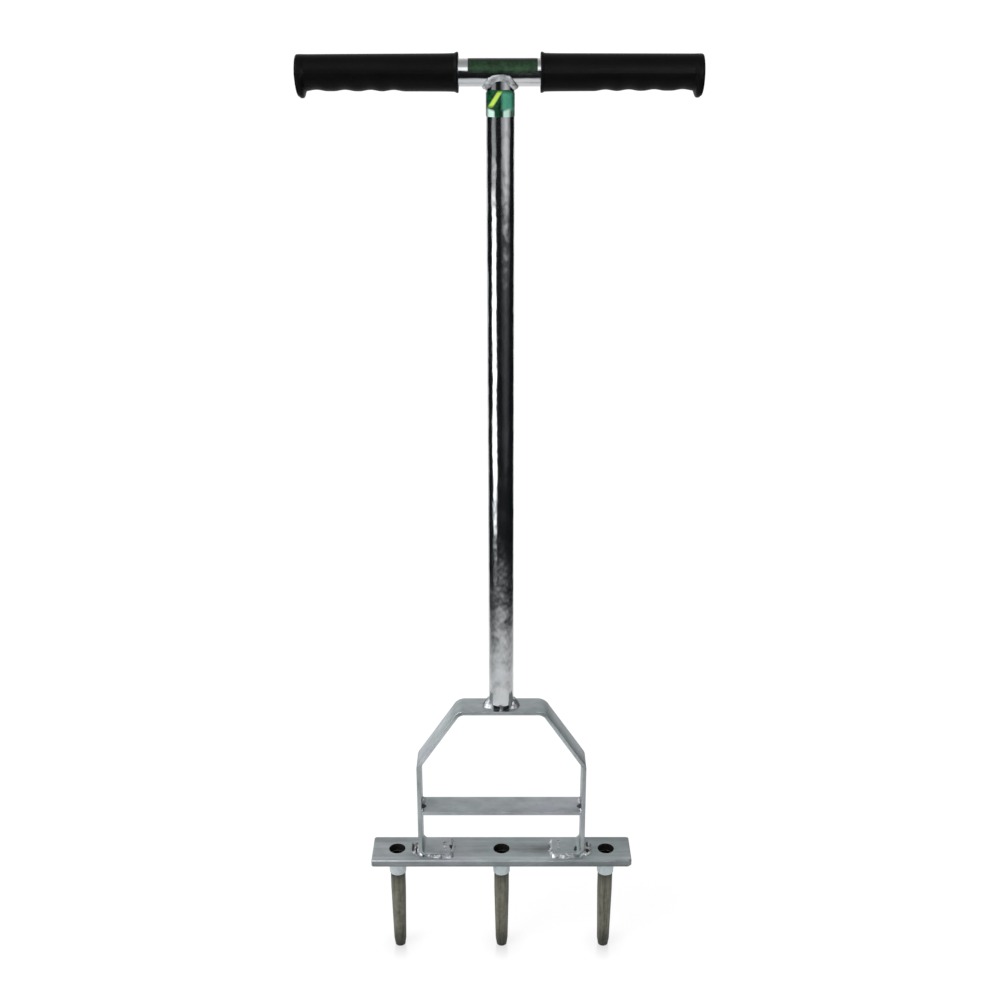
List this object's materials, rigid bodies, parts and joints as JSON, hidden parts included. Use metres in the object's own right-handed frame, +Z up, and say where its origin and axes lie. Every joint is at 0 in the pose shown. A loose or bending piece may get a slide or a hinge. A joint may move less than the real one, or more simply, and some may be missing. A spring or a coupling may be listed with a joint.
{
  "type": "core aerator",
  "caption": "Manual lawn core aerator: T-handle with rubber grips, steel shaft, bent strap yoke with foot bar, and a tine bar with hollow coring tines.",
  "frame": {"origin": "centre of the ground rectangle under the tool as it stands upright on its tine tips, on the shaft's axis", "axes": "+Z up along the shaft, +X along the handle and the tine bar, -Y towards the user and the drain notch"},
  "size_m": [0.3348, 0.041, 0.8951],
  "materials": {
    "chromed_tube": "bright chrome plate",
    "zinc_plate": "satin bright zinc plate on mild steel",
    "zinc_weld": "rippled weld bead under bright zinc plate",
    "tine_steel": "dark olive-grey satin steel",
    "grip_rubber": "black satin rubber",
    "label_print": null
  },
  "bodies": {
    "root": {"foot_bar": "zinc_plate", "foot_bar_weld_left": "zinc_weld", "foot_bar_weld_right": "zinc_weld", "handle_label": "label_print", "handle_tube": "chromed_tube", "handle_weld": "zinc_weld", "left_grip": "grip_rubber", "right_grip": "grip_rubber", "shaft_label": "label_print", "shaft_tube": "chromed_tube", "shaft_weld_left": "zinc_weld", "shaft_weld_right": "zinc_weld", "shaft_weld_tack": "zinc_weld", "tine_bar": "zinc_plate", "tine_centre": "tine_steel", "tine_left": "tine_steel", "tine_right": "tine_steel", "tine_socket_centre": "zinc_plate", "tine_socket_left": "zinc_plate", "tine_socket_right": "zinc_plate", "tine_socket_weld_centre": "zinc_weld", "tine_socket_weld_left": "zinc_weld", "tine_socket_weld_right": "zinc_weld", "yoke": "zinc_plate", "yoke_foot_weld_left": "zinc_weld", "yoke_foot_weld_right": "zinc_weld"}
  },
  "joints": []
}
